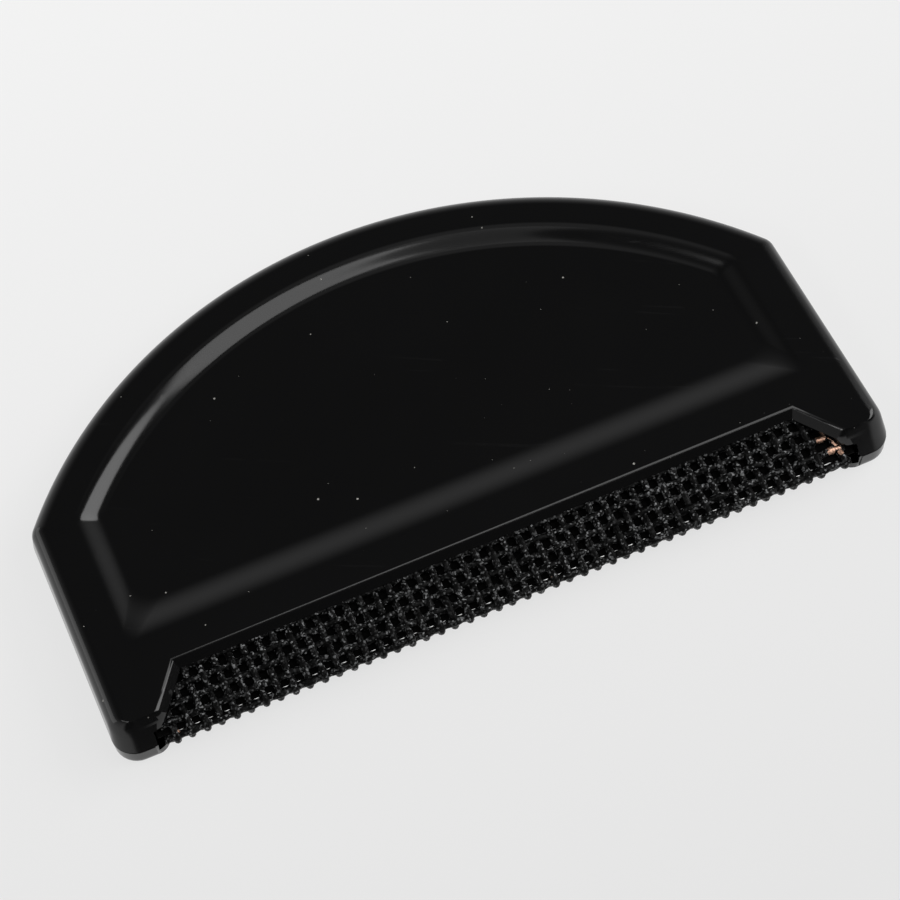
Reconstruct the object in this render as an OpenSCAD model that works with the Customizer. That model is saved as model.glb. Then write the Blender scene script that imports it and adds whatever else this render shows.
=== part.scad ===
/* [Handle] */
// Width across the two feet, measured on the seam
handle_w = 114.3; // [113:0.1:118]
// Depth from the feet to the top of the back curve
handle_d = 64.5; // [63:0.5:68]
// Thickness of the closed handle
handle_t = 8.4; // [8.4:0.1:9.6]
// Radius of the back curve
back_r = 70.5; // [69:0.5:73]
// Inward lean of each side, in degrees
side_lean = 1.2; // [0:0.2:2.4]
// Plan radius of the foot corners
foot_r = 3.4; // [3:0.1:4.5]
// Plan radius of the shoulder corners
shoulder_r = 2.8; // [2.7:0.1:4]
// Radius of the rounded edge round each face
edge_r = 2.4; // [1.8:0.1:2.4]
// How much the side wall draws in between the seam and the rounded edge
wall_draft = 0.15; // [0.05:0.05:0.2]
// Lean of the front half's wall at the feet, in degrees from upright
toe_lean = 32; // [28:1:34]

/* [Grip panel] */
// Depth of the sunk panel in each face
panel_sink = 1.5; // [1:0.1:1.7]
// Distance from the feet to the lower edge of the panel's sloped ring
ring_low = 13.5; // [13.5:0.1:15]
// Width of the sloped ring along the mesh side
ring_low_w = 6.5; // [5:0.1:8]
// Distance from the outline to the ring at the two sides
rim_side = 6.2; // [5:0.1:7]
// Width of the sloped ring at the two sides
ring_side_w = 4; // [3:0.1:5]
// Distance from the outline to the ring along the back curve
rim_back = 5.6; // [5:0.1:6.5]
// Width of the sloped ring along the back curve
ring_back_w = 3.4; // [3:0.1:4]
// Plan radius of the panel's two lower corners
panel_corner_r = 3.6; // [3:0.1:5]

/* [Notch for the mesh] */
// Half the width of the notch at its top
notch_top = 45.2; // [44.4:0.1:45.4]
// Distance from the feet to the top of the notch
notch_h = 7.9; // [7.76:0.02:8]
// Widening of each notch side for each millimetre towards the feet
notch_flare = 0.733; // [0.6:0.01:0.8]
// Lean of the notch's walls above the mesh, in degrees from upright
notch_lean = 45; // [40:1:47]
// Radius of the notch's upper edge
notch_edge_r = 1.5; // [1.2:0.1:1.6]
// Plan radius of each foot's inner corner
toe_r = 2.4; // [2.2:0.1:2.8]
// Half the width of the pocket that takes the mesh
pocket_half_w = 51.7; // [51.4:0.1:52]
// Distance from the feet to the back of the pocket
pocket_back = 14.3; // [13.8:0.1:14.6]
// Thickness of the lip over the pocket
lip_t = 0.95; // [0.7:0.05:0.95]

/* [Wire mesh] */
// Distance between neighbouring wires, 12 to the inch
wire_pitch = 2.11; // [2:0.01:2.2]
// Diameter of a coated wire
wire_d = 0.8; // [0.7:0.02:0.8]
// Clearance between crossing wires
wire_gap = 0.04; // [0.02:0.01:0.06]
// Slope of each leg of the folded mesh, in degrees
leg_slope = 10; // [9.5:0.5:10]
// Radius of the fold, on the middle surface of the mesh
fold_r = 1; // [0.95:0.05:1.05]
// Distance from the feet to the front of the fold's middle surface
fold_front = -0.05; // [-0.2:0.05:0.2]
// Distance from the feet to the bend where each leg turns level
leg_bend = 8.6; // [8.2:0.1:8.8]
// Radius of that bend, on the middle surface of the mesh
bend_r = 3; // [2:0.5:4]
// Number of wires bent across the edge
cross_count = 47; // [45:1:47]
// Place of the first wire bent across the edge
cross_first = -49.03; // [-49.2:0.01:-48]
// Left end of the wires that run along the edge
long_left = -50.6; // [-51:0.1:-50.4]
// Length of the wires that run along the edge
long_len = 100.7; // [100:0.1:101]
// Where the wires along the edge start, before the fold
long_phase = 1.25; // [1.1:0.05:1.4]

/* [Inner bar and pins] */
// Clearance between the inner bar and the mesh
bar_clear = 0.03; // [0.02:0.01:0.05]
// Distance from the feet to the centre of the bar's rounded nose
nose_y = 1.3; // [1.2:0.05:1.6]
// How far the bar reaches into each foot, past the pocket
bar_tail = 1.3; // [1:0.1:1.8]
// Diameter of a locating pin
pin_d = 3; // [2.5:0.1:3.5]
// Clearance round a pin in its socket
pin_clear = 0.05; // [0.02:0.01:0.1]
// Length of a pin past the seam
pin_reach = 1.7; // [1.2:0.1:1.7]
// Diameter of the boss round a pin or a socket
boss_d = 6; // [5.4:0.1:7]
// Wall under the sunk panel
panel_wall = 1.5; // [1.2:0.1:1.6]

/* [Hidden] */

arc_steps = 18;
corner_steps = 5;
edge_steps = 6;
ring_steps = 7;
fold_steps = 6;
wire_sides = 8;
round_fn = 32;
eps = 0.01;

seam_z = handle_t / 2;
back_y = handle_d - back_r;
envelope = wire_d + wire_gap / 2;
fold_y = fold_front + fold_r;
mesh_front = fold_front - envelope;
origin_y = (handle_d + mesh_front) / 2;

// The sides: outward normal of the right side, and its distance from the middle of the feet
side_n = [cos(side_lean), sin(side_lean)];
side_c = cos(side_lean) * handle_w / 2;

// Points of the folded mesh's middle surface, in [y, height over the seam]
tangent_p = [fold_y - fold_r * sin(leg_slope), fold_r * cos(leg_slope)];
leg_len = (leg_bend - tangent_p[0]) / cos(leg_slope);
level_h = tangent_p[1] + (leg_bend - tangent_p[0]) * tan(leg_slope);
bend_reach = bend_r * tan(leg_slope / 2);
bend_centre = [leg_bend + bend_reach, level_h - bend_r];
leg_end = pocket_back - 0.2;
fold_len = fold_r * (180 - 2 * leg_slope) * PI / 180;

pin_places = [[-36, 27], [36, 27], [-19, 47], [19, 47]];
rib_places = [-24, 0, 24];
rib_w = 1.4;

// Plan radii of the ring's outer edge, and of the panel's upper corners
ring_corner_r = 1.2;
ring_shoulder_r = 3;
panel_shoulder_r = 2.2;

// The closed hollow behind the panel: how far inside the ring's outer edge it starts
hollow_side = 3;
hollow_low = 5.5;
hollow_back = 2.4;
hollow_corner_r = 2.6;

// Seats for the inner bar's two ends, and the clearance round them
seat_y = 8.9;
end_clear = 0.1;
end_w = bar_tail + 0.4;

// How far a cut runs out past the feet
cut_past = 4;

// Angle at which the notch's rounded edge meets the rim, and its number of steps
notch_crease = 66;
notch_steps = 4;

// How far the notch's cut runs out over the rim, and past the front of the feet
notch_over = 0.1;
notch_proud = 0.02;

// Height over the seam up to which the notch's walls are upright
notch_upright = 3;

// Clearance between the mesh and its slot in the feet
slot_clear = 0.05;

hollow_h = seam_z - panel_sink - panel_wall;
pocket_h = seam_z - lip_t;
bar_h = level_h - envelope - bar_clear;
plastic = "#101011";
bar_plastic = "#1b1b1d";
coated_wire = "#232527";

// Centre of a corner of radius r between a straight side and the line y = low
function low_centre(side, low, r) = [
  (side - r - side_n[1] * (low + r)) / side_n[0],
  low + r
];

// Centre of a corner of radius r between a straight side and the back curve
function top_centre(side, curve, r) =
  let (
    along = side - r - side_n[1] * back_y,
    up = sqrt(pow(curve - r, 2) - pow(along, 2))
  )
  [along * side_n[0] - up * side_n[1], back_y + along * side_n[1] + up * side_n[0]];

function arc_points(centre, r, from, to, steps) = [
  for (i = [0:steps])
    let (a = from + (to - from) * i / steps)
    [centre[0] + r * cos(a), centre[1] + r * sin(a)]
];

// Right half of a half-moon outline, from the lower corner up to the middle of the back
function half_outline(side, low, low_r, curve, top_r) =
  let (
    lc = low_centre(side, low, low_r),
    tc = top_centre(side, curve, top_r),
    turn = atan2(tc[1] - back_y, tc[0]),
    back = arc_points([0, back_y], curve, turn, 90, arc_steps)
  )
  concat(
    arc_points(lc, low_r, -90, side_lean, corner_steps),
    arc_points(tc, top_r, side_lean, turn, corner_steps),
    [for (i = [1:arc_steps]) back[i]]
  );

// Whole outline, counter-clockwise from the lower right corner
function outline(side, low, low_r, curve, top_r) =
  let (
    half = half_outline(side, low, low_r, curve, top_r),
    last = len(half) - 1
  )
  concat(half, [for (i = [last - 1:-1:0]) [-half[i][0], half[i][1]]]);

// How far the wall stands inside the outline at a height over the seam
function wall_inset(z) =
  let (over = max(z - seam_z + edge_r, 0))
  wall_draft * min(z / (seam_z - edge_r), 1) + edge_r - sqrt(max(pow(edge_r, 2) - pow(over, 2), 0));

// The same at the front of the feet, where the wall may lean back
function foot_inset(z, lean) = max(wall_inset(z), z * tan(lean));

function body_outline(z, lean) =
  let (inset = wall_inset(z))
  outline(
    side_c - inset,
    foot_inset(z, lean),
    foot_r - inset,
    back_r - inset,
    shoulder_r - inset
  );

function lift(points, z) = [for (p = points) [p[0], p[1], z]];
function blend(a, b, t) = [for (i = [0:len(a) - 1]) a[i] * (1 - t) + b[i] * t];

// Rings of the rounded edge, from the seam to the flat rim
function edge_rings(lean) = concat(
  [lift(body_outline(0, lean), 0)],
  [
    for (i = [0:edge_steps])
      let (z = seam_z - edge_r + edge_r * sin(90 * i / edge_steps))
      lift(body_outline(z, lean), z)
  ]
);

ring_top = outline(
  side_c - rim_side,
  ring_low,
  ring_corner_r,
  back_r - rim_back,
  ring_shoulder_r
);
ring_floor = outline(
  side_c - rim_side - ring_side_w,
  ring_low + ring_low_w,
  panel_corner_r,
  back_r - rim_back - ring_back_w,
  panel_shoulder_r
);

// Rings of the slope down to the sunk panel
slope_rings = [
  for (i = [0:ring_steps])
    let (t = i / ring_steps, drop = t * t * (3 - 2 * t))
    lift(blend(ring_top, ring_floor, t), seam_z - panel_sink * drop)
];

// A solid closed by a list of rings with equal numbers of points
module loft(rings) {
  n = len(rings[0]);
  last = len(rings) - 1;
  points = [for (r = rings) each r];
  sides = [
    for (k = [0:last - 1], i = [0:n - 1])
      let (
        j = (i + 1) % n,
        a = k * n + i,
        b = (k + 1) * n + i,
        c = (k + 1) * n + j,
        d = k * n + j
      )
      each [[a, b, c], [a, c, d]]
  ];
  under = [for (i = [0:n - 1]) i];
  over = [for (i = [n - 1:-1:0]) last * n + i];
  polyhedron(points = points, faces = concat([under], sides, [over]), convexity = 6);
}

// Plan of the closed space behind the sunk panel, with its ribs and bosses left standing
module hollow_plan() {
  difference() {
    polygon(outline(
      side_c - rim_side - hollow_side,
      ring_low + hollow_low,
      hollow_corner_r,
      back_r - rim_back - hollow_back,
      hollow_corner_r
    ));
    for (x = rib_places) {
      translate([x - rib_w / 2, 0]) square([rib_w, handle_d]);
    }
    for (p = pin_places) {
      translate(p) circle(d = boss_d, $fn = round_fn);
    }
  }
}

// Plan of the notch when its walls stand back and the feet end at low, counter-clockwise
function notch_plan(back, low) =
  let (
    reach = sqrt(1 + pow(notch_flare, 2)),
    r = toe_r - back,
    toe_y = low + r - notch_proud,
    toe_x = notch_top + notch_flare * (notch_h - toe_y) + toe_r * reach,
    toe = arc_points([toe_x, toe_y], r, 270, 180 + atan(notch_flare), corner_steps),
    corner = [notch_top + back * (reach - notch_flare), notch_h + back],
    right = concat([[toe_x, -cut_past]], toe, [corner]),
    last = len(right) - 1
  )
  concat(right, [for (i = [last:-1:0]) [-right[i][0], right[i][1]]]);

// The notch: upright beside the mesh, then leaning back to a rounded upper edge
module notch(lean) {
  centre_z = seam_z - notch_edge_r * sin(notch_crease);
  lean_back = (centre_z + notch_edge_r * sin(notch_lean) - notch_upright) * tan(notch_lean);
  crease_back = lean_back + notch_edge_r * (cos(notch_lean) - cos(notch_crease));
  over_back = crease_back + notch_over * tan(notch_crease);
  loft(concat(
    [
      lift(notch_plan(0, 0), -eps),
      lift(notch_plan(0, foot_inset(notch_upright, lean)), notch_upright)
    ],
    [
      for (i = [0:notch_steps])
        let (
          a = notch_lean + (notch_crease - notch_lean) * i / notch_steps,
          back = lean_back + notch_edge_r * (cos(notch_lean) - cos(a)),
          z = centre_z + notch_edge_r * sin(a)
        )
        lift(notch_plan(back, foot_inset(z, lean)), z)
    ],
    [lift(notch_plan(over_back, foot_inset(seam_z, lean)), seam_z + notch_over)]
  ));
}

// Turns a drawing in [y, z] into the upright plane across the edge
module across() {
  rotate([90, 0, 90]) children();
}

// Slot for the mesh, which follows the mesh's wedge in the feet and under the lip
module mesh_pocket() {
  reach = fold_r + envelope + slot_clear;
  full_y = fold_y + (pocket_h * cos(leg_slope) - reach) / sin(leg_slope);
  front_h = (reach - (fold_y + cut_past) * sin(leg_slope)) / cos(leg_slope);
  translate([-pocket_half_w, 0, 0]) across() linear_extrude(height = 2 * pocket_half_w) polygon([
    [-cut_past, -eps],
    [pocket_back, -eps],
    [pocket_back, pocket_h],
    [full_y, pocket_h],
    [-cut_past, front_h]
  ]);
}

module bar_pocket() {
  half_w = pocket_half_w + bar_tail + end_clear;
  translate([-half_w, seat_y, -eps])
    cube([2 * half_w, pocket_back - seat_y, bar_h + bar_clear + eps]);
}

// One half of the handle with its seam face at z = 0
module half_shell(lean) {
  difference() {
    loft(concat(edge_rings(lean), slope_rings));
    notch(lean);
    mesh_pocket();
    bar_pocket();
    translate([0, 0, -eps]) linear_extrude(height = hollow_h + eps) hollow_plan();
  }
}

module place() {
  translate([0, -origin_y, seam_z]) children();
}

module front_shell() {
  color(plastic) place() {
    half_shell(toe_lean);
    for (p = pin_places) {
      translate([p[0], p[1], -pin_reach]) cylinder(d = pin_d, h = pin_reach + hollow_h, $fn = round_fn);
    }
  }
}

module rear_shell() {
  bore_d = pin_d + 2 * pin_clear;
  bore_depth = pin_reach + 0.1;
  color(plastic) place() mirror([0, 0, 1]) difference() {
    half_shell(0);
    for (p = pin_places) {
      translate([p[0], p[1], -1]) cylinder(d = bore_d, h = bore_depth + 1, $fn = round_fn);
    }
  }
}

// Bar inside the fold, which holds the mesh in its wedge shape
module mesh_core() {
  nose_r = (nose_y - fold_y) * sin(leg_slope) + fold_r - envelope - bar_clear;
  turn_y = nose_y + (bar_h - nose_r / cos(leg_slope)) / tan(leg_slope);
  nose = arc_points([nose_y, 0], nose_r, 90 + leg_slope, 270 - leg_slope, 8);
  section = concat(
    nose,
    [[turn_y, -bar_h], [leg_end, -bar_h], [leg_end, bar_h], [turn_y, bar_h]]
  );
  half_w = pocket_half_w - 0.3;
  end_y = seat_y + end_clear;
  color(bar_plastic) place() {
    translate([-half_w, 0, 0]) across() linear_extrude(height = 2 * half_w) polygon(section);
    for (x = [-pocket_half_w - bar_tail, pocket_half_w + bar_tail - end_w]) {
      translate([x, end_y, -bar_h]) cube([end_w, leg_end - end_y, 2 * bar_h]);
    }
  }
}

// Middle line of a bent wire in [y, height over the seam], from the end of the upper leg
wire_out = (wire_d + wire_gap) / 2;
bend_out = bend_centre + (bend_r + wire_out) / cos(leg_slope / 2)
  * [-sin(leg_slope / 2), cos(leg_slope / 2)];
upper_path = [[leg_end, level_h + wire_out], bend_out];
fold_path = arc_points(
  [fold_y, 0],
  (fold_r + wire_out) / cos((90 - leg_slope) / fold_steps),
  90 + leg_slope + (90 - leg_slope) / fold_steps,
  270 - leg_slope - (90 - leg_slope) / fold_steps,
  fold_steps - 1
);
lower_path = [for (i = [1:-1:0]) [upper_path[i][0], -upper_path[i][1]]];
cross_path = concat(upper_path, fold_path, lower_path);

function direction(a, b) = (b - a) / norm(b - a);

// Ring of a round wire round point i of a flat path, cut on the mitre between its two stretches
function wire_ring(path, i) =
  let (
    here = path[i],
    come = i > 0 ? direction(path[i - 1], here) : direction(here, path[i + 1]),
    go = i < len(path) - 1 ? direction(here, path[i + 1]) : come,
    mid = (come + go) / norm(come + go),
    stretch = 1 / (mid * go),
    n = [-mid[1], mid[0]] * stretch
  )
  [
    for (k = [0:wire_sides - 1])
      let (
        a = 360 * k / wire_sides,
        p = here + n * wire_d / 2 * cos(a)
      )
      [wire_d / 2 * sin(a), p[0], p[1]]
  ];

// One wire bent across the edge, on the outside of the mesh
module cross_wire() {
  loft([for (i = [0:len(cross_path) - 1]) wire_ring(cross_path, i)]);
}

module cross_wires() {
  color(coated_wire) place() {
    for (i = [0:cross_count - 1]) {
      translate([cross_first + i * wire_pitch, 0, 0]) cross_wire();
    }
  }
}

// Point at a distance s along an upper leg from the fold, moved inwards by half a wire
function leg_point(s) =
  let (
    inward = (wire_d + wire_gap) / 2,
    turn_s = leg_len - bend_reach,
    over = s - turn_s,
    turn = min(max(over / bend_r, 0), leg_slope * PI / 180) * 180 / PI,
    level = max(over - bend_r * leg_slope * PI / 180, 0),
    a = leg_slope - turn
  )
  over <= 0
    ? tangent_p + s * [cos(leg_slope), sin(leg_slope)] - inward * [-sin(leg_slope), cos(leg_slope)]
    : bend_centre + (bend_r - inward) * [-sin(a), cos(a)] + [level, 0];

// Point of the wire number i along the edge, counted from the back of the upper leg
function long_point(i) =
  let (
    s = long_phase + (6 - i) * wire_pitch,
    past = -s - fold_len,
    a = leg_slope - s / fold_r * 180 / PI,
    inner_r = fold_r - (wire_d + wire_gap) / 2
  )
  s >= 0
    ? leg_point(s)
    : past <= 0
      ? [fold_y, 0] + inner_r * [-sin(a), cos(a)]
      : [leg_point(past)[0], -leg_point(past)[1]];

module long_wire(i) {
  p = long_point(i);
  color(coated_wire) place() translate([long_left, p[0], p[1]]) rotate([0, 90, 0])
    cylinder(d = wire_d, h = long_len, $fn = 24);
}

front_shell();
rear_shell();
mesh_core();
cross_wires();
long_wire(1);  // long_wire_01
long_wire(2);  // long_wire_02
long_wire(3);  // long_wire_03
long_wire(4);  // long_wire_04
long_wire(5);  // long_wire_05
long_wire(6);  // long_wire_06
long_wire(7);  // long_wire_07
long_wire(8);  // long_wire_08
long_wire(9);  // long_wire_09
long_wire(10);  // long_wire_10
long_wire(11);  // long_wire_11
long_wire(12);  // long_wire_12
long_wire(13);  // long_wire_13
long_wire(14);  // long_wire_14
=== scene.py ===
import math

import bmesh
import bpy
from mathutils import Matrix, Vector, noise


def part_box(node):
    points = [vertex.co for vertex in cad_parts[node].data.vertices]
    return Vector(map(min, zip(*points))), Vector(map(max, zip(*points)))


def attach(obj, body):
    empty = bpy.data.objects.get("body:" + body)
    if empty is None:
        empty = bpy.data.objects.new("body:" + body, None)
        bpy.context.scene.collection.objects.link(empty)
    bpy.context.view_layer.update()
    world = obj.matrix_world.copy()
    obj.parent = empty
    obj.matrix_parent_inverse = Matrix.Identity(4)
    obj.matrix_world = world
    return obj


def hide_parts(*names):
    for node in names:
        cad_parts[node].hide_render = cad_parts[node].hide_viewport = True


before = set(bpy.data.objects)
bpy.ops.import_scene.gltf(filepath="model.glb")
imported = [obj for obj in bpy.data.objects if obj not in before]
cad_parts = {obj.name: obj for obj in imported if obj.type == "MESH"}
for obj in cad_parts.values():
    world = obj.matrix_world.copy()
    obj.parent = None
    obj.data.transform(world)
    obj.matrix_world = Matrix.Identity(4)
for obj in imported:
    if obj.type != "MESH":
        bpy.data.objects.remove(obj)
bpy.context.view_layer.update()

# Sizes are in millimetres, and MM turns them into metres
MM = 0.001
shell_low, shell_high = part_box("front_shell")
rear_low, rear_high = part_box("rear_shell")

# The frame's own sizes: the feet, the back, the seam between the halves, half the thickness, the depth
FEET_Y = shell_low.y / MM
BACK_Y = shell_high.y / MM
SEAM_Z = rear_high.z / MM
HALF_T = (shell_high.z - rear_low.z) / MM / 2
DEPTH = BACK_Y - FEET_Y

# Handle: its plan, its rounded edge, and the lean of its walls. The front half leans back at the feet
HALF_W = 57.15
BACK_R = 70.5
SIDE_LEAN = math.radians(1.2)
FOOT_R = 3.4
SHOULDER_R = 2.8
EDGE_R = 2.4
WALL_DRAFT = 0.15
TOE_LEAN = math.radians(32.0)
SEAM_ROUND = 0.16

# Sunk grip panel: RIM and RING_LOW place the outer edge of its sloped ring, and W is the ring's width
PANEL_SINK = 1.5
RING_LOW = 13.5
RING_LOW_W = 6.5
RIM_SIDE = 6.2
RING_SIDE_W = 4.0
RIM_BACK = 5.6
RING_BACK_W = 3.4
RING_CORNER_R = 1.2
RING_SHOULDER_R = 3.0
PANEL_CORNER_R = 3.6
PANEL_SHOULDER_R = 2.2

# Notch: half its width at the top, its height, and how its sides widen towards the feet
NOTCH_TOP = 45.2
NOTCH_H = 7.9
NOTCH_FLARE = 0.733
# Its walls are upright up to a height over the seam, then lean, then round over to a crease
NOTCH_UPRIGHT = 3.0
NOTCH_LEAN = math.radians(45.0)
NOTCH_EDGE_R = 1.5
NOTCH_CREASE = math.radians(66.0)
# Plan radius of each foot's inner corner
TOE_R = 2.4
# How far the notch's cut runs over the rim, and past the front of the feet
NOTCH_OVER = 0.1
NOTCH_PROUD = 0.02
# Slot for the mesh behind the notch, and the lip over it
SLOT_CLEAR = 0.02
SLOT_HALF_W = 51.7
SLOT_BACK = 14.3
LIP_T = 1.05
# How far cuts run out past the feet, under the seam and through the seam
PAST_FEET = 4.0
UNDER_SEAM = 1.0
THROUGH_SEAM = 2.0

# Inside of the halves: the bar's seat, the hollow behind the panel, its ribs, and pins in sockets
BAR_SEAT_H = 1.55
BAR_SEAT_Y = 8.9
BAR_SEAT_X = 53.1
PANEL_WALL = 1.5
HOLLOW_SIDE = 3.0
HOLLOW_LOW = 5.5
HOLLOW_BACK = 2.4
HOLLOW_R = 2.6
RIB_X = (-24.0, 0.0, 24.0)
RIB_W = 1.4
PIN_PLACES = ((-36.0, 27.0), (36.0, 27.0), (-19.0, 47.0), (19.0, 47.0))
PIN_D = 3.0
PIN_REACH = 1.7
PIN_ROOT = 0.2
SOCKET_SPARE = 0.1
PIN_CLEAR = 0.05
BOSS_D = 6.0

# Wire mesh: the coated wire swells at the crossings, is a little lumpy, and waves over and under
PITCH = 2.11
WIRE_R = 0.54
WIRE_SWELL = 0.05
WIRE_LUMP = 0.05
LUMP_LENGTH = 0.7
LUMP_ROW = 3.7
LUMP_SLICE = 0.5
WEAVE = 0.19
# The folded mesh: two sloped legs from the fold, which bend level under the lip
LEG_SLOPE = math.radians(10.0)
FOLD_R = 1.0
FOLD_FRONT = -0.05
LEG_BEND = 8.6
BEND_R = 3.0
LEG_SHORT = 0.2
# Wires across the edge, and wires along it. The first of those lie on the upper leg
CROSS_COUNT = 47
CROSS_FIRST = -49.03
LONG_COUNT = 14
LONG_LEFT = -50.6
LONG_LEN = 100.7
LONG_PHASE = 1.25
UPPER_LONG = 6

# Steps of the curves
CORNER_STEPS = 8
BACK_STEPS = 40
SIDE_STEPS = 6
SEAM_STEPS = 3
EDGE_STEPS = 12
SLOPE_STEPS = 16
NOTCH_STEPS = 8
HOLLOW_CORNER_STEPS = 4
HOLLOW_BACK_STEPS = 16
ROD_SIDES = 32
WIRE_STEPS = 3
STEPS_PER_PITCH = 8
# Points of a wire closer together than its radius over this are merged
WELD_PART = 100

# Edges sharper than this stay sharp, and large faces lead the shading by this weight
SHARP_ANGLE = math.radians(32.0)
LARGE_FACE_WEIGHT = 60

BACK_CENTRE = DEPTH - BACK_R
SIDE = math.cos(SIDE_LEAN) * HALF_W
LEG_END = SLOT_BACK - LEG_SHORT
FOLD_Y = FOLD_FRONT + FOLD_R
SLOT_H = HALF_T - LIP_T
HOLLOW_H = HALF_T - PANEL_SINK - PANEL_WALL


# Plan outlines


def arc(centre, radius, start, end, steps):
    """Points of an arc, both ends included. Angles are in radians."""
    points = []
    for i in range(steps + 1):
        a = start + (end - start) * i / steps
        points.append((centre[0] + radius * math.cos(a), centre[1] + radius * math.sin(a)))
    return points


def outline(side, low, low_r, curve, top_r, corner_steps=CORNER_STEPS, back_steps=BACK_STEPS):
    """Half-moon outline between two sides, a lower line and a back curve, with rounded corners.

    It runs counter-clockwise from the lower right corner.
    """
    nx = math.cos(SIDE_LEAN)
    ny = math.sin(SIDE_LEAN)
    low_c = ((side - low_r - ny * (low + low_r)) / nx, low + low_r)
    along = side - top_r - ny * BACK_CENTRE
    up = math.sqrt((curve - top_r) ** 2 - along**2)
    top_c = (along * nx - up * ny, BACK_CENTRE + along * ny + up * nx)
    turn = math.atan2(top_c[1] - BACK_CENTRE, top_c[0])
    lower = arc(low_c, low_r, -math.pi / 2, SIDE_LEAN, corner_steps)
    upper = arc(top_c, top_r, SIDE_LEAN, turn, corner_steps)
    a = Vector(lower[-1])
    b = Vector(upper[0])
    straight = [tuple(a.lerp(b, i / SIDE_STEPS)) for i in range(1, SIDE_STEPS)]
    back = arc((0.0, BACK_CENTRE), curve, turn, math.pi / 2, back_steps)
    half = lower + straight + upper + back[1:]
    mirrored = [(-x, y) for x, y in reversed(half[:-1])]
    return half + mirrored


def wall_inset(z):
    """How far the handle's wall stands inside its outline at a height over the seam."""
    over = max(z - HALF_T + EDGE_R, 0.0)
    draft = WALL_DRAFT * min(z / (HALF_T - EDGE_R), 1.0)
    seam = SEAM_ROUND - math.sqrt(max(SEAM_ROUND**2 - max(SEAM_ROUND - z, 0.0) ** 2, 0.0))
    return draft + seam + EDGE_R - math.sqrt(max(EDGE_R**2 - over**2, 0.0))


def foot_inset(z, lean):
    """The same at the front of the feet, where the wall may lean back."""
    return max(wall_inset(z), z * math.tan(lean))


def body_outline(z, lean):
    """Outline of a half of the handle at a height over the seam."""
    inset = wall_inset(z)
    return outline(
        SIDE - inset,
        foot_inset(z, lean),
        FOOT_R - inset,
        BACK_R - inset,
        SHOULDER_R - inset,
    )


def lift(points, z):
    """Plan points at a height."""
    return [(x, y, z) for x, y in points]


# Mesh operators


def deselect():
    bpy.ops.object.select_all(action="DESELECT")


def pick(*objects):
    deselect()
    for each in objects:
        each.select_set(True)
    bpy.context.view_layer.objects.active = objects[0]


def edit_all(obj):
    """Enters edit mode with the whole mesh selected."""
    pick(obj)
    bpy.ops.object.mode_set(mode="EDIT")
    bpy.ops.mesh.select_mode(type="VERT")
    bpy.ops.mesh.select_all(action="SELECT")


def turn_faces_out():
    """Turns every face outwards and leaves edit mode."""
    bpy.ops.mesh.select_all(action="SELECT")
    bpy.ops.mesh.normals_make_consistent(inside=False)
    bpy.ops.object.mode_set(mode="OBJECT")


def named(obj, name):
    obj.name = name
    obj.data.name = name
    return obj


def settle(obj):
    """Puts the object's place and turn into its mesh."""
    pick(obj)
    bpy.ops.object.transform_apply(location=True, rotation=True, scale=True)
    return obj


def apply_modifiers(obj):
    pick(obj)
    for modifier in list(obj.modifiers):
        bpy.ops.object.modifier_apply(modifier=modifier.name)
    return obj


def box(name, low, high):
    """Box between two corners, in millimetres."""
    low = Vector(low)
    high = Vector(high)
    deselect()
    bpy.ops.mesh.primitive_cube_add(size=MM, location=(low + high) / 2 * MM)
    obj = named(bpy.context.object, name)
    obj.scale = high - low
    return settle(obj)


def rod(name, x, y, low, high, radius):
    """Upright round rod between two heights, in millimetres."""
    deselect()
    bpy.ops.mesh.primitive_cylinder_add(
        vertices=ROD_SIDES,
        radius=radius * MM,
        depth=(high - low) * MM,
        location=(x * MM, y * MM, (low + high) / 2 * MM),
    )
    return named(bpy.context.object, name)


def cut(obj, tool, operation="DIFFERENCE"):
    """Cuts a tool out of an object, or joins it on, and deletes the tool."""
    settle(tool)
    modifier = obj.modifiers.new("cut", "BOOLEAN")
    modifier.operation = operation
    modifier.solver = "EXACT"
    modifier.object = tool
    apply_modifiers(obj)
    pick(tool)
    bpy.ops.object.delete()
    return obj


def rings_solid(name, rings):
    """Solid through rings of equal length: a circle is set on the first and pulled to the others."""
    deselect()
    bpy.ops.mesh.primitive_circle_add(vertices=len(rings[0]), radius=MM)
    obj = named(bpy.context.object, name)
    edit_all(obj)
    for i, ring in enumerate(rings):
        if i:
            bpy.ops.mesh.extrude_edges_move()
        mesh = bmesh.from_edit_mesh(obj.data)
        moving = sorted((v for v in mesh.verts if v.select), key=lambda v: v.index)
        for vertex, point in zip(moving, ring):
            vertex.co = Vector(point) * MM
        bmesh.update_edit_mesh(obj.data)
        if i == 0:
            bpy.ops.mesh.edge_face_add()
    bpy.ops.mesh.edge_face_add()
    turn_faces_out()
    return obj


def place(obj):
    """Moves a piece from the feet and seam lines to its place in the frame."""
    obj.location = (0.0, FEET_Y * MM, SEAM_Z * MM)
    return settle(obj)


# Handle halves


def smooth_step(t):
    return t * t * (3.0 - 2.0 * t)


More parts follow.
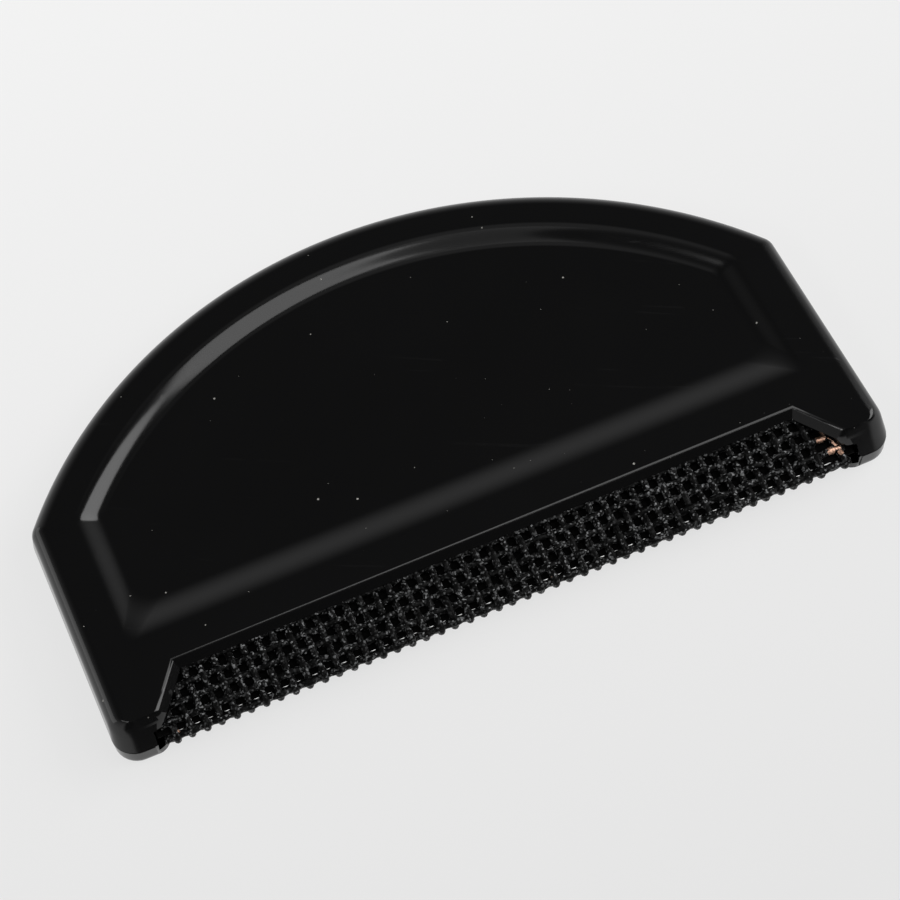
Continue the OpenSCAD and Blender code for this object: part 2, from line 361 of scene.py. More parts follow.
def shell_rings(lean):
    """Rings of a half: up its wall, round its edge, across the rim and down to the sunk panel."""
    heights = []
    for i in range(SEAM_STEPS + 1):
        heights.append(SEAM_ROUND * (1.0 - math.cos(math.pi / 2 * i / SEAM_STEPS)))
    for i in range(EDGE_STEPS + 1):
        heights.append(HALF_T - EDGE_R + EDGE_R * math.sin(math.pi / 2 * i / EDGE_STEPS))
    rings = [lift(body_outline(z, lean), z) for z in heights]
    side = SIDE - RIM_SIDE
    top = outline(side, RING_LOW, RING_CORNER_R, BACK_R - RIM_BACK, RING_SHOULDER_R)
    floor = outline(
        side - RING_SIDE_W,
        RING_LOW + RING_LOW_W,
        PANEL_CORNER_R,
        BACK_R - RIM_BACK - RING_BACK_W,
        PANEL_SHOULDER_R,
    )
    for i in range(SLOPE_STEPS + 1):
        t = i / SLOPE_STEPS
        ring = [
            (a[0] * (1 - t) + b[0] * t, a[1] * (1 - t) + b[1] * t)
            for a, b in zip(top, floor)
        ]
        rings.append(lift(ring, HALF_T - PANEL_SINK * smooth_step(t)))
    return rings


def notch_plan(back, low):
    """Plan of the notch when its walls stand back and the feet end at low, counter-clockwise."""
    reach = math.hypot(1.0, NOTCH_FLARE)
    r = TOE_R - back
    toe_y = low + r - NOTCH_PROUD
    toe_x = NOTCH_TOP + NOTCH_FLARE * (NOTCH_H - toe_y) + TOE_R * reach
    toe = arc((toe_x, toe_y), r, 1.5 * math.pi, math.pi + math.atan(NOTCH_FLARE), CORNER_STEPS)
    corner = (NOTCH_TOP + back * (reach - NOTCH_FLARE), NOTCH_H + back)
    right = [(toe_x, -PAST_FEET)] + toe + [corner]
    return right + [(-x, y) for x, y in reversed(right)]


def notch_tool(lean):
    """Notch whose walls are upright beside the mesh, then lean back to a rounded upper edge."""
    centre_z = HALF_T - NOTCH_EDGE_R * math.sin(NOTCH_CREASE)
    lean_rise = centre_z + NOTCH_EDGE_R * math.sin(NOTCH_LEAN) - NOTCH_UPRIGHT
    lean_back = lean_rise * math.tan(NOTCH_LEAN)
    low = foot_inset(NOTCH_UPRIGHT, lean)
    rings = [
        lift(notch_plan(0.0, 0.0), -UNDER_SEAM),
        lift(notch_plan(0.0, low), NOTCH_UPRIGHT),
    ]
    for i in range(NOTCH_STEPS + 1):
        a = NOTCH_LEAN + (NOTCH_CREASE - NOTCH_LEAN) * i / NOTCH_STEPS
        back = lean_back + NOTCH_EDGE_R * (math.cos(NOTCH_LEAN) - math.cos(a))
        z = centre_z + NOTCH_EDGE_R * math.sin(a)
        rings.append(lift(notch_plan(back, foot_inset(z, lean)), z))
    back += NOTCH_OVER * math.tan(NOTCH_CREASE)
    rings.append(lift(notch_plan(back, foot_inset(HALF_T, lean)), HALF_T + NOTCH_OVER))
    return rings_solid("notch_tool", rings)


def slot_tool():
    """Slot for the mesh, which follows the mesh's wedge in the feet and under the lip."""
    reach = FOLD_R + WEAVE + WIRE_R * (1.0 + WIRE_SWELL + WIRE_LUMP) + SLOT_CLEAR
    sin = math.sin(LEG_SLOPE)
    cos = math.cos(LEG_SLOPE)
    full_y = FOLD_Y + (SLOT_H * cos - reach) / sin
    front_h = (reach - (FOLD_Y + PAST_FEET) * sin) / cos
    section = (
        (-PAST_FEET, -UNDER_SEAM),
        (SLOT_BACK, -UNDER_SEAM),
        (SLOT_BACK, SLOT_H),
        (full_y, SLOT_H),
        (-PAST_FEET, front_h),
    )
    ends = [[(x, y, z) for y, z in section] for x in (-SLOT_HALF_W, SLOT_HALF_W)]
    return rings_solid("slot_tool", ends)


def hollow_tool():
    """Closed space behind the sunk panel, with its ribs and bosses left standing."""
    plan = outline(
        SIDE - RIM_SIDE - HOLLOW_SIDE,
        RING_LOW + HOLLOW_LOW,
        HOLLOW_R,
        BACK_R - RIM_BACK - HOLLOW_BACK,
        HOLLOW_R,
        HOLLOW_CORNER_STEPS,
        HOLLOW_BACK_STEPS,
    )
    obj = rings_solid("hollow_tool", [lift(plan, -UNDER_SEAM), lift(plan, HOLLOW_H)])
    for x in RIB_X:
        low = (x - RIB_W / 2, 0.0, -THROUGH_SEAM)
        high = (x + RIB_W / 2, DEPTH, HALF_T)
        cut(obj, box("rib", low, high))
    for x, y in PIN_PLACES:
        cut(obj, rod("boss", x, y, -THROUGH_SEAM, HALF_T, BOSS_D / 2))
    return obj


def half_shell(name, lean):
    """One half of the handle, face up, with its seam face at height 0."""
    obj = rings_solid(name, shell_rings(lean))
    cut(obj, notch_tool(lean))
    cut(obj, slot_tool())
    seat_low = (-BAR_SEAT_X, BAR_SEAT_Y, -UNDER_SEAM)
    seat_high = (BAR_SEAT_X, SLOT_BACK, BAR_SEAT_H)
    cut(obj, box("seat", seat_low, seat_high))
    cut(obj, hollow_tool())
    return obj


def smooth(obj):
    """Smooth shading that keeps the sharp edges and the flat faces."""
    pick(obj)
    bpy.ops.object.shade_smooth_by_angle(angle=SHARP_ANGLE)
    weighted = obj.modifiers.new("weighted", "WEIGHTED_NORMAL")
    weighted.keep_sharp = True
    weighted.weight = LARGE_FACE_WEIGHT
    apply_modifiers(obj)
    return obj


def front_shell():
    obj = half_shell("front_handle_half", TOE_LEAN)
    for x, y in PIN_PLACES:
        pin = rod("pin", x, y, -PIN_REACH, HOLLOW_H + PIN_ROOT, PIN_D / 2)
        cut(obj, pin, "UNION")
    return place(obj)


def rear_shell():
    obj = half_shell("rear_handle_half", 0.0)
    depth = PIN_REACH + SOCKET_SPARE
    for x, y in PIN_PLACES:
        cut(obj, rod("socket", x, y, -UNDER_SEAM, depth, PIN_D / 2 + PIN_CLEAR))
    obj.scale.z = -1.0
    settle(obj)
    edit_all(obj)
    turn_faces_out()
    return place(obj)


# Woven mesh

# The last cross wire has been knocked towards the foot, most at the fold
LAST_LEAN = 1.3
LAST_LEAN_REACH = 11.0
# The mesh's profile: lengths of its stretches from the fold's front, and where they meet
FOLD_ARC = FOLD_R * (math.pi / 2 - LEG_SLOPE)
TANGENT = (FOLD_Y - FOLD_R * math.sin(LEG_SLOPE), FOLD_R * math.cos(LEG_SLOPE))
BEND_REACH = BEND_R * math.tan(LEG_SLOPE / 2)
LEG_RUN = (LEG_BEND - TANGENT[0]) / math.cos(LEG_SLOPE) - BEND_REACH
BEND_ARC = BEND_R * LEG_SLOPE
LEVEL_H = TANGENT[1] + (LEG_BEND - TANGENT[0]) * math.tan(LEG_SLOPE)
LEVEL_RUN = LEG_END - LEG_BEND - BEND_REACH
HALF_RUN = FOLD_ARC + LEG_RUN + BEND_ARC + LEVEL_RUN


def mesh_profile(s):
    """Point and outward normal, as (y, height over the seam), s round from the fold's front."""
    sign = 1.0 if s >= 0.0 else -1.0
    s = abs(s)
    if s <= FOLD_ARC:
        a = s / FOLD_R
        normal = (-math.cos(a), math.sin(a))
        point = (FOLD_Y - FOLD_R * math.cos(a), FOLD_R * math.sin(a))
    elif s <= FOLD_ARC + LEG_RUN:
        run = s - FOLD_ARC
        normal = (-math.sin(LEG_SLOPE), math.cos(LEG_SLOPE))
        point = (
            TANGENT[0] + run * math.cos(LEG_SLOPE),
            TANGENT[1] + run * math.sin(LEG_SLOPE),
        )
    else:
        past = s - FOLD_ARC - LEG_RUN
        a = LEG_SLOPE - min(past, BEND_ARC) / BEND_R
        level = max(past - BEND_ARC, 0.0)
        normal = (-math.sin(a), math.cos(a))
        point = (
            LEG_BEND + BEND_REACH - BEND_R * math.sin(a) + level,
            LEVEL_H - BEND_R + BEND_R * math.cos(a),
        )
    return (point[0], sign * point[1]), (normal[0], sign * normal[1])


def long_place(i):
    """How far round from the fold's front wire number i along the edge lies."""
    return FOLD_ARC + LONG_PHASE + (UPPER_LONG - i) * PITCH


def coating(run, to_crossing, seed):
    """Share of the wire's mean thickness: more where the coating pools at crossings, and a little lumpy."""
    pooled = WIRE_SWELL * math.cos(2.0 * math.pi * to_crossing / PITCH)
    lump = WIRE_LUMP * noise.noise(Vector((run / LUMP_LENGTH, seed * LUMP_ROW, LUMP_SLICE)))
    return 1.0 + pooled + lump


def cross_path(k):
    """Points and thicknesses of cross wire number k."""
    count = round(2.0 * HALF_RUN / PITCH * STEPS_PER_PITCH)
    start = long_place(UPPER_LONG + 1)
    x = CROSS_FIRST + k * PITCH
    points = []
    for i in range(count + 1):
        s = -HALF_RUN + 2.0 * HALF_RUN * i / count
        (y, z), (ny, nz) = mesh_profile(s)
        wave = WEAVE * math.cos(math.pi * (s - start) / PITCH) * (-1) ** k
        lean = 0.0
        if k == CROSS_COUNT - 1:
            lean = LAST_LEAN * (1.0 - smooth_step(min(max(y, 0.0) / LAST_LEAN_REACH, 1.0)))
        points.append(((x + lean, y + ny * wave, z + nz * wave), coating(s, s - start, k)))
    return points


def long_path(i):
    """Points and thicknesses of wire number i along the edge."""
    count = round(LONG_LEN / PITCH * STEPS_PER_PITCH)
    (y, z), (ny, nz) = mesh_profile(long_place(i))
    points = []
    for n in range(count + 1):
        x = LONG_LEFT + LONG_LEN * n / count
        along = x - CROSS_FIRST
        wave = -WEAVE * math.cos(math.pi * along / PITCH) * (-1) ** (UPPER_LONG + 1 - i)
        points.append(((x, y + ny * wave, z + nz * wave), coating(x, along, CROSS_COUNT + i)))
    return points


def wire(name, path):
    """Round wire along a path in millimetres, as a closed mesh."""
    deselect()
    bpy.ops.curve.primitive_nurbs_path_add()
    obj = bpy.context.object
    curve = obj.data
    curve.splines.clear()
    spline = curve.splines.new("POLY")
    spline.points.add(len(path) - 1)
    for point, (place_mm, thickness) in zip(spline.points, path):
        point.co = (*(Vector(place_mm) * MM), 1.0)
        point.radius = thickness
    curve.bevel_depth = WIRE_R * MM
    curve.bevel_resolution = WIRE_STEPS
    curve.use_fill_caps = True
    bpy.ops.object.convert(target="MESH")
    obj = named(bpy.context.object, name)
    edit_all(obj)
    bpy.ops.mesh.remove_doubles(threshold=WIRE_R * MM / WELD_PART)
    turn_faces_out()
    return obj


def cross_wires():
    wires = [wire(f"cross_{k:02d}", cross_path(k)) for k in range(CROSS_COUNT)]
    pick(*wires)
    bpy.ops.object.join()
    return place(named(bpy.context.object, "woven_cross_wires"))


def long_wire(i):
    return place(wire(f"woven_long_wire_{i:02d}", long_path(i)))


# Nodes for the materials

# Where a Mix node keeps its first value or colour among its inputs, and its result among its outputs
VALUE_INPUT = 2
VALUE_OUTPUT = 0
COLOUR_INPUT = 6
COLOUR_OUTPUT = 2
# Most of a noise texture lies between these
NOISE_LOW = 0.3
NOISE_HIGH = 0.7


def new_node(tree, kind, **settings):
    made = tree.nodes.new(kind)
    for key, value in settings.items():
        setattr(made, key, value)
    return made


def set_inputs(made, **values):
    """Sets a node's inputs by name, with an underscore for a space."""
    for key, value in values.items():
        made.inputs[key.replace("_", " ")].default_value = value
    return made


def feed(tree, socket, value):
    """Links an input to a socket, or sets it to a value."""
    if isinstance(value, bpy.types.NodeSocket):
        tree.links.new(value, socket)
    else:
        socket.default_value = value


def math_node(tree, operation, *values, clamp=False):
    made = new_node(tree, "ShaderNodeMath", operation=operation, use_clamp=clamp)
    for socket, value in zip(made.inputs, values):
        feed(tree, socket, value)
    return made.outputs[0]


def mix(tree, kind, mask, a, b, first, result):
    made = new_node(tree, "ShaderNodeMix", data_type=kind)
    tree.links.new(mask, made.inputs["Factor"])
    feed(tree, made.inputs[first], a)
    feed(tree, made.inputs[first + 1], b)
    return made.outputs[result]


def mix_colour(tree, mask, a, b):
    return mix(tree, "RGBA", mask, a, b, COLOUR_INPUT, COLOUR_OUTPUT)


def mix_value(tree, mask, a, b):
    return mix(tree, "FLOAT", mask, a, b, VALUE_INPUT, VALUE_OUTPUT)


def spread(tree, value, low, high, to_low, to_high):
    """Maps a value from one range to another, held inside it."""
    made = new_node(tree, "ShaderNodeMapRange")
    set_inputs(made, From_Min=low, From_Max=high, To_Min=to_low, To_Max=to_high)
    tree.links.new(value, made.inputs["Value"])
    return made.outputs["Result"]


def spread_noise(tree, value, to_low, to_high):
    return spread(tree, value, NOISE_LOW, NOISE_HIGH, to_low, to_high)


def cloudy(tree, where, scale, detail=2.0, roughness=0.5):
    made = new_node(tree, "ShaderNodeTexNoise")
    set_inputs(made, Scale=scale, Detail=detail, Roughness=roughness)
    tree.links.new(where, made.inputs["Vector"])
    return made.outputs["Fac"]


def painted_glint_cells(tree, where, scale, rarity):
    """A shade of its own for each small cell, most of them near 0 and a few near 1, used as the mask of
    painted glints.
    """
    cells = new_node(tree, "ShaderNodeTexVoronoi", feature="F1")
    set_inputs(cells, Scale=scale, Randomness=1.0)
    tree.links.new(where, cells.inputs["Vector"])
    parts = new_node(tree, "ShaderNodeSeparateColor")
    tree.links.new(cells.outputs["Color"], parts.inputs["Color"])
    return math_node(tree, "POWER", parts.outputs["Red"], rarity)


def bump(tree, height, strength, distance, normal=None):
    made = new_node(tree, "ShaderNodeBump")
    set_inputs(made, Strength=strength, Distance=distance)
    tree.links.new(height, made.inputs["Height"])
    if normal is not None:
        tree.links.new(normal, made.inputs["Normal"])
    return made.outputs["Normal"]


# Mask groups

# How sharply each mask rises from 0 to 1 at its edge
SPECK_EDGE = 30.0
SCRATCH_EDGE = 25.0
GAP_EDGE = 12.0
WORN_EDGE = 12000.0
# A broad noise breaks the scratches up where it is under a limit
GAP_SCALE = 90.0
GAP_LIMIT = 0.52
# A fine noise makes worn spots ragged: their least share of their reach, and how much it adds
RAGGED_SCALE = 2200.0
RAGGED_LEAST = 0.2
RAGGED_MORE = 1.6


def mask_group(name, **inputs):
    """Group that makes a mask from a place and from more inputs, which are given with their kinds."""
    tree = bpy.data.node_groups.new(name, "ShaderNodeTree")
    tree.interface.new_socket("Vector", in_out="INPUT", socket_type="NodeSocketVector")
    for socket, kind in inputs.items():
        tree.interface.new_socket(socket, in_out="INPUT", socket_type=kind)
    tree.interface.new_socket("Mask", in_out="OUTPUT", socket_type="NodeSocketFloat")
    entry = tree.nodes.new("NodeGroupInput")
    leave = tree.nodes.new("NodeGroupOutput")
    return tree, entry.outputs, leave.inputs["Mask"]


def masked(tree, group, where, **values):
    """Puts a mask group into a material and returns its mask."""
    made = new_node(tree, "ShaderNodeGroup", node_tree=group)
    tree.links.new(where, made.inputs["Vector"])
    set_inputs(made, **values)
    return made.outputs["Mask"]


def specks_group():
    """Small round specks. Cells are cells to the metre, Share is how many of them hold a speck, and
    Reach is the largest radius of a speck as a share of a cell.
    """
    value = "NodeSocketFloat"
    tree, given, result = mask_group("specks", Cells=value, Share=value, Reach=value)
    cells = new_node(tree, "ShaderNodeTexVoronoi", feature="F1", distance="EUCLIDEAN")
    set_inputs(cells, Randomness=1.0)
    tree.links.new(given["Vector"], cells.inputs["Vector"])
    tree.links.new(given["Cells"], cells.inputs["Scale"])
    parts = new_node(tree, "ShaderNodeSeparateColor")
    tree.links.new(cells.outputs["Color"], parts.inputs["Color"])
    chosen = math_node(tree, "LESS_THAN", parts.outputs["Red"], given["Share"])
    size = math_node(tree, "MULTIPLY", parts.outputs["Green"], given["Reach"])
    near = math_node(tree, "SUBTRACT", size, cells.outputs["Distance"])
    edge = math_node(tree, "MULTIPLY", near, SPECK_EDGE, clamp=True)
    tree.links.new(math_node(tree, "MULTIPLY", edge, chosen), result)
    return tree


def scratches_group():
    """Fine straight scratches: noise stretched along one direction, broken up by a broad noise."""
    value = "NodeSocketFloat"
    tree, given, result = mask_group("scratches", Scale=value, Stretch=value, Turn=value, Limit=value)
    turn = new_node(tree, "ShaderNodeVectorRotate", rotation_type="Z_AXIS")
    tree.links.new(given["Vector"], turn.inputs["Vector"])
    tree.links.new(given["Turn"], turn.inputs["Angle"])
    squeeze = new_node(tree, "ShaderNodeCombineXYZ")
    tree.links.new(given["Stretch"], squeeze.inputs["X"])
    set_inputs(squeeze, Y=1.0, Z=1.0)
    scaled = new_node(tree, "ShaderNodeVectorMath", operation="MULTIPLY")
    tree.links.new(turn.outputs["Vector"], scaled.inputs[0])
    tree.links.new(squeeze.outputs["Vector"], scaled.inputs[1])
    lines = new_node(tree, "ShaderNodeTexNoise")
    set_inputs(lines, Detail=1.0, Roughness=0.5)
    tree.links.new(scaled.outputs["Vector"], lines.inputs["Vector"])
    tree.links.new(given["Scale"], lines.inputs["Scale"])
    over = math_node(tree, "SUBTRACT", lines.outputs["Fac"], given["Limit"])
    line = math_node(tree, "MULTIPLY", over, SCRATCH_EDGE, clamp=True)
    gaps = math_node(tree, "SUBTRACT", cloudy(tree, given["Vector"], GAP_SCALE), GAP_LIMIT)
    broken = math_node(tree, "MULTIPLY", gaps, GAP_EDGE, clamp=True)
    tree.links.new(math_node(tree, "MULTIPLY", line, broken), result)
    return tree


def worn_group():
    """Spot round a point where the coating has worn through, with a ragged edge."""
    tree, given, result = mask_group("worn_spot", Centre="NodeSocketVector", Reach="NodeSocketFloat")
    away = new_node(tree, "ShaderNodeVectorMath", operation="DISTANCE")
    tree.links.new(given["Vector"], away.inputs[0])
    tree.links.new(given["Centre"], away.inputs[1])
    ragged = cloudy(tree, given["Vector"], RAGGED_SCALE, detail=3.0, roughness=0.6)
    share = math_node(tree, "MULTIPLY_ADD", ragged, RAGGED_MORE, RAGGED_LEAST)
    reach = math_node(tree, "MULTIPLY", share, given["Reach"])
    inside = math_node(tree, "SUBTRACT", reach, away.outputs["Value"])
    tree.links.new(math_node(tree, "MULTIPLY", inside, WORN_EDGE, clamp=True), result)
    return tree


SPECKS = specks_group()
SCRATCHES = scratches_group()
WORN = worn_group()


# Materials

BLACK = (0.003, 0.003, 0.0032, 1.0)
DUST = (0.45, 0.44, 0.41, 1.0)
COAT = (0.001, 0.001, 0.001, 1.0)
# Colour of the painted glints: pale specks that stand for light sparkling on the coating's grains
COAT_PAINTED_GLINT = (0.3, 0.305, 0.31, 1.0)
COPPER = (0.93, 0.58, 0.42, 1.0)
CORE = (0.0008, 0.0008, 0.0008, 1.0)
CORE_PALE = (0.002, 0.002, 0.002, 1.0)
FLOOR_DULL = (0.78, 0.78, 0.775, 1.0)
FLOOR_PALE = (0.81, 0.81, 0.805, 1.0)

SCRATCH_ROUGHNESS = 0.24
DUST_ROUGHNESS = 0.9
COPPER_ROUGHNESS = 0.35
FLOOR_ROUGHNESS = 0.6
# Mirror-like share of the coating, the inner bar and the floor, which are dull
DULL_SPECULAR = 0.1

# Worn spots: x, y from the feet line, height over the floor and reach, in millimetres
WORN_SPOTS = (
    (47.45, 4.0, 6.2, 0.6),
    (48.0, 4.1, 6.2, 0.5),
    (49.0, 3.7, 6.2, 0.5),
    (49.2, 2.8, 6.05, 0.5),
    (49.25, 2.0, 5.9, 0.5),
    (49.3, 1.2, 5.75, 0.5),
    (48.1, 1.8, 5.8, 0.6),
    (47.2, 0.8, 5.6, 0.25),
    (-48.55, 0.3, 5.4, 0.25),
    (-36.8, -0.4, 5.5, 0.3),
    (-5.1, 0.0, 5.6, 0.25),
    (5.3, 0.3, 5.7, 0.25),
)


def new_material(name):
    material = bpy.data.materials.new(name)
    material.use_nodes = True
    tree = material.node_tree
    tree.nodes.clear()
    shader = tree.nodes.new("ShaderNodeBsdfPrincipled")
    output = tree.nodes.new("ShaderNodeOutputMaterial")
    tree.links.new(shader.outputs["BSDF"], output.inputs["Surface"])
    where = tree.nodes.new("ShaderNodeTexCoord").outputs["Object"]
    return material, tree, shader, where


def gloss_black():
    """Polished plastic with dust, hairline scratches and a slight ripple."""
    material, tree, shader, where = new_material("gloss_black_plastic")
    dust = masked(tree, SPECKS, where, Cells=420.0, Share=0.4, Reach=0.09)
    fine_dust = masked(tree, SPECKS, where, Cells=1100.0, Share=0.06, Reach=0.1)
    scratch = masked(tree, SCRATCHES, where, Scale=1500.0, Stretch=0.03, Turn=0.5, Limit=0.7)
    all_dust = math_node(tree, "MAXIMUM", dust, fine_dust)
    tree.links.new(mix_colour(tree, all_dust, BLACK, DUST), shader.inputs["Base Color"])
    cloud = cloudy(tree, where, scale=60.0, detail=4.0)
    clean = spread_noise(tree, cloud, to_low=0.1, to_high=0.16)
    scratched = mix_value(tree, scratch, clean, SCRATCH_ROUGHNESS)
    dusty = mix_value(tree, all_dust, scratched, DUST_ROUGHNESS)
    tree.links.new(dusty, shader.inputs["Roughness"])
    ripple = bump(tree, cloudy(tree, where, scale=140.0), strength=0.04, distance=0.0002)
    fine = bump(tree, scratch, strength=0.03, distance=0.00002, normal=ripple)
    tree.links.new(fine, shader.inputs["Normal"])
    return material


def coated_wire():
    """Dark grainy coating with pale specks painted on as glints, worn through to copper in a few spots."""
    material, tree, shader, where = new_material("coated_wire")
    worn = None
    for x, y, z, reach in WORN_SPOTS:
        centre = Vector((x, y + FEET_Y, z)) * MM
        spot = masked(tree, WORN, where, Centre=centre, Reach=reach * MM)
        worn = spot if worn is None else math_node(tree, "MAXIMUM", worn, spot)
    # Pale specks painted into the coat's colour stand for glints of light, not a colour of the coating
    coat_and_painted_glints = mix_colour(tree, painted_glint_cells(tree, where, scale=4000.0, rarity=11.0), COAT, COAT_PAINTED_GLINT)
    tree.links.new(mix_colour(tree, worn, coat_and_painted_glints, COPPER), shader.inputs["Base Color"])
    tree.links.new(worn, shader.inputs["Metallic"])
    grain = cloudy(tree, where, scale=4200.0, detail=3.0, roughness=0.7)
    rough = spread_noise(tree, grain, to_low=0.25, to_high=0.45)
    tree.links.new(mix_value(tree, worn, rough, COPPER_ROUGHNESS), shader.inputs["Roughness"])
    lumps = bump(tree, cloudy(tree, where, scale=1300.0), strength=0.8, distance=0.00015)
    fine = bump(tree, grain, strength=0.9, distance=0.0001, normal=lumps)
    tree.links.new(fine, shader.inputs["Normal"])
    set_inputs(shader, Specular_IOR_Level=DULL_SPECULAR)
    return material


def core_black():
    """Plain dull plastic of the bar inside the fold."""
    material, tree, shader, where = new_material("core_black_plastic")
    grain = cloudy(tree, where, scale=1500.0, detail=3.0)
    tree.links.new(mix_colour(tree, grain, CORE, CORE_PALE), shader.inputs["Base Color"])
    rough = spread_noise(tree, grain, to_low=0.6, to_high=0.8)
    tree.links.new(rough, shader.inputs["Roughness"])
    fine = bump(tree, grain, strength=0.2, distance=0.00005)
    tree.links.new(fine, shader.inputs["Normal"])
    set_inputs(shader, Specular_IOR_Level=DULL_SPECULAR)
    return material


def paint(obj, material):
    obj.data.materials.clear()
    obj.data.materials.append(material)


# Stage. Its sizes are in metres

FLOOR_SIZE = 10.0
# Seen directly or in a reflection, the floor is mostly a glow: its share, then how bright it is near
# the viewer and far away, and where those two lie
GLOW_SHARE = 0.8
FLOOR_NEAR = 0.84
FLOOR_FAR = 1.0
FLOOR_NEAR_Y = -0.085
FLOOR_FAR_Y = 0.11


def seen_rays(tree):
    """1 for rays from the camera and for rays that a shiny or clear surface sends on."""
    path = new_node(tree, "ShaderNodeLightPath")
    seen = math_node(tree, "ADD", path.outputs["Is Camera Ray"], path.outputs["Is Glossy Ray"])
    return math_node(tree, "ADD", seen, path.outputs["Is Transmission Ray"], clamp=True)


def white_floor():
    deselect()
    bpy.ops.mesh.primitive_plane_add(size=FLOOR_SIZE, location=(0.0, 0.0, 0.0))
    obj = named(bpy.context.object, "floor")
    material, tree, shader, where = new_material("white_floor")
    tone = cloudy(tree, where, scale=3.0)
    tree.links.new(mix_colour(tree, tone, FLOOR_DULL, FLOOR_PALE), shader.inputs["Base Color"])
    set_inputs(shader, Roughness=FLOOR_ROUGHNESS, Specular_IOR_Level=DULL_SPECULAR)
    parts = new_node(tree, "ShaderNodeSeparateXYZ")
    tree.links.new(where, parts.inputs["Vector"])
    shade = spread(tree, parts.outputs["Y"], FLOOR_NEAR_Y, FLOOR_FAR_Y, FLOOR_NEAR, FLOOR_FAR)
    glow = new_node(tree, "ShaderNodeEmission")
    tree.links.new(shade, glow.inputs["Strength"])
    both = new_node(tree, "ShaderNodeMixShader")
    share = math_node(tree, "MULTIPLY", seen_rays(tree), GLOW_SHARE)
    tree.links.new(share, both.inputs["Fac"])
    tree.links.new(shader.outputs["BSDF"], both.inputs[1])
    tree.links.new(glow.outputs["Emission"], both.inputs[2])
    output = next(made for made in tree.nodes if made.type == "OUTPUT_MATERIAL")
    tree.links.new(both.outputs["Shader"], output.inputs["Surface"])
    paint(obj, material)


# Lamps: name, azimuth and elevation in degrees, distance, size, brightness
LAMPS = (
    ("main_softbox", 40, 57, 0.7, (0.33, 0.36), 2.2),
    ("right_softbox", 88, 35, 1.0, (0.95, 0.55), 3.2),
    ("left_softbox", -72, 50, 1.0, (0.6, 0.24), 1.6),
    ("left_lamp", -55, 44, 1.0, (0.2, 0.17), 4.0),
    ("upper_front_softbox", -5, 68, 1.0, (0.35, 0.42), 0.35),
    ("back_left_softbox", -120, 13, 1.0, (1.0, 0.42), 0.8),
)


def softbox(name, azimuth, elevation, distance, size, brightness):
    """Rectangular lamp that faces the comb."""
    data = bpy.data.lights.new(name, "AREA")
    data.shape = "RECTANGLE"
    data.size = size[0]
    data.size_y = size[1]
    data.energy = brightness * math.pi * size[0] * size[1]
    obj = bpy.data.objects.new(name, data)
    bpy.context.scene.collection.objects.link(obj)
    a = math.radians(azimuth)
    e = math.radians(elevation)
    away = Vector((math.sin(a) * math.cos(e), -math.cos(a) * math.cos(e), math.sin(e)))
    obj.location = away * distance
    obj.rotation_mode = "QUATERNION"
    obj.rotation_quaternion = (-away).to_track_quat("-Z", "Y")


# Brightness of the room by elevation in degrees: pale low walls, dark above them, pale ceiling
ROOM = ((0, 0.75), (16, 0.5), (28, 0.32), (40, 0.16), (50, 0.08), (60, 0.07), (70, 0.15), (80, 0.3))
# Brightness of the room behind the floor, as the camera sees it
ROOM_SEEN = 0.94
# The room is dark in front and a little to the right: the direction of the dark, the cosines of the
# angles from it where the dark starts and is full, and its shade
DARK_SIDE = (0.34, -0.94, 0.1)
DARK_FROM = 0.3
DARK_FULL = 0.5
DARK_SHADE = 0.05


def grey(brightness):
    return (brightness, brightness, brightness, 1.0)


def room():
    made = bpy.data.worlds.new("studio")
    bpy.context.scene.world = made
    made.use_nodes = True
    tree = made.node_tree
    where = new_node(tree, "ShaderNodeTexCoord").outputs["Generated"]
    parts = new_node(tree, "ShaderNodeSeparateXYZ")
    tree.links.new(where, parts.inputs["Vector"])
    ramp = new_node(tree, "ShaderNodeValToRGB")
    tree.links.new(parts.outputs["Z"], ramp.inputs["Fac"])
    stops = ramp.color_ramp.elements
    for i, (elevation, brightness) in enumerate(ROOM):
        position = math.sin(math.radians(elevation))
        stop = stops[i] if i < len(stops) else stops.new(position)
        stop.position = position
        stop.color = grey(brightness)
    front = new_node(tree, "ShaderNodeVectorMath", operation="DOT_PRODUCT")
    feed(tree, front.inputs[0], where)
    feed(tree, front.inputs[1], DARK_SIDE)
    dark = spread(tree, front.outputs["Value"], DARK_FROM, DARK_FULL, 0.0, 1.0)
    lit = mix_colour(tree, dark, ramp.outputs["Color"], grey(DARK_SHADE))
    camera_ray = new_node(tree, "ShaderNodeLightPath").outputs["Is Camera Ray"]
    colour = mix_colour(tree, camera_ray, lit, grey(ROOM_SEEN))
    background = tree.nodes["Background"]
    tree.links.new(colour, background.inputs["Color"])
    set_inputs(background, Strength=1.0)


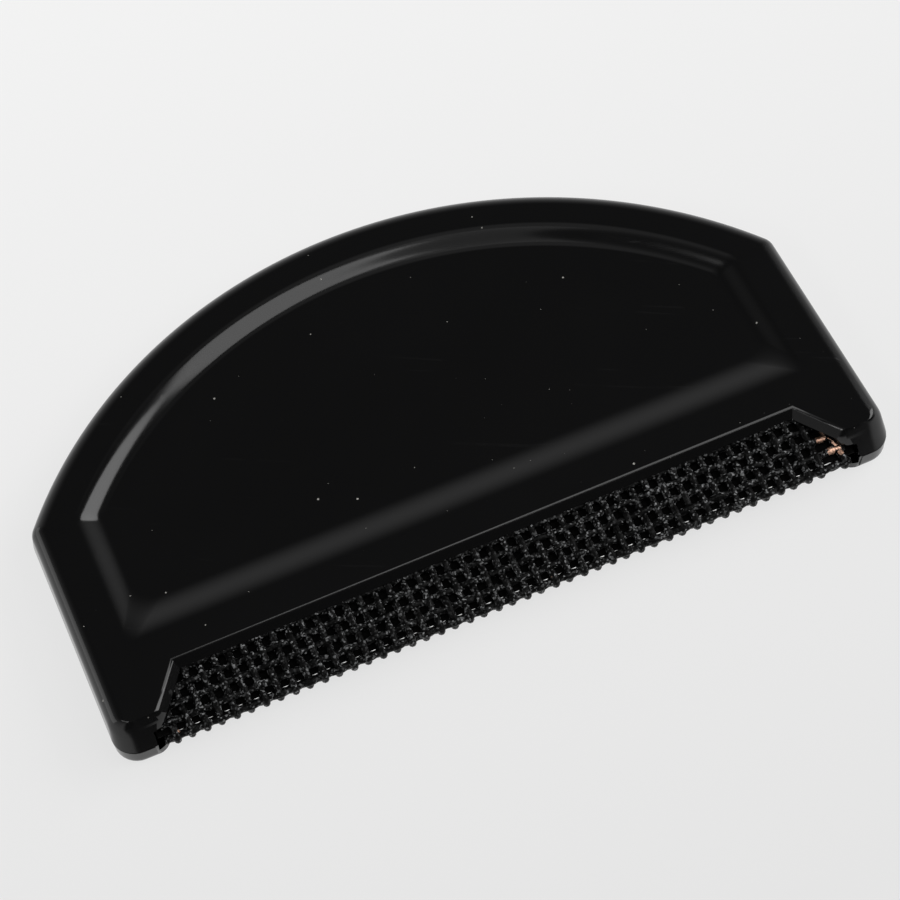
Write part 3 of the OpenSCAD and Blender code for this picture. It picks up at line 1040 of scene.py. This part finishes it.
# Camera: its direction and roll, its place in millimetres from the feet line and the floor, the
# lens and the sensor's width in millimetres, and the nearest distance that it sees, in metres
VIEW_AZIMUTH = math.radians(-18.64)
VIEW_ELEVATION = math.radians(57.765)
VIEW_ROLL = math.radians(-5.95)
VIEW_PLACE = (-77.63, -208.92, 396.53)
VIEW_LENS = 134.18
VIEW_SENSOR = 36.0
VIEW_NEAREST = 0.01


def camera():
    data = bpy.data.cameras.new("camera")
    data.lens = VIEW_LENS
    data.sensor_width = VIEW_SENSOR
    data.clip_start = VIEW_NEAREST
    obj = bpy.data.objects.new("camera", data)
    bpy.context.scene.collection.objects.link(obj)
    away = math.cos(VIEW_ELEVATION)
    back = Vector((
        math.sin(VIEW_AZIMUTH) * away,
        -math.cos(VIEW_AZIMUTH) * away,
        math.sin(VIEW_ELEVATION),
    ))
    level = Vector((math.cos(VIEW_AZIMUTH), math.sin(VIEW_AZIMUTH), 0.0))
    upright = back.cross(level)
    right = level * math.cos(VIEW_ROLL) + upright * math.sin(VIEW_ROLL)
    up = back.cross(right)
    turn = Matrix((right, up, back)).transposed()
    x, y, z = VIEW_PLACE
    obj.matrix_world = Matrix.Translation(Vector((x, y + FEET_Y, z)) * MM) @ turn.to_4x4()
    bpy.context.scene.camera = obj


def dress():
    """Makes the visible pieces, each in the place of the frame's node that it replaces."""
    plastic = gloss_black()
    for obj, node in ((front_shell(), "front_shell"), (rear_shell(), "rear_shell")):
        smooth(obj)
        paint(obj, plastic)
        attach(obj, "root")
        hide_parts(node)
    coated = coated_wire()
    wires = [(cross_wires(), "cross_wires")]
    for i in range(1, LONG_COUNT + 1):
        wires.append((long_wire(i), f"long_wire_{i:02d}"))
    for obj, node in wires:
        pick(obj)
        bpy.ops.object.shade_smooth()
        paint(obj, coated)
        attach(obj, "root")
        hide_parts(node)
    paint(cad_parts["mesh_core"], core_black())


def studio():
    white_floor()
    room()
    for lamp in LAMPS:
        softbox(*lamp)
    camera()


bpy.context.scene.view_settings.view_transform = "Standard"
dress()
studio()
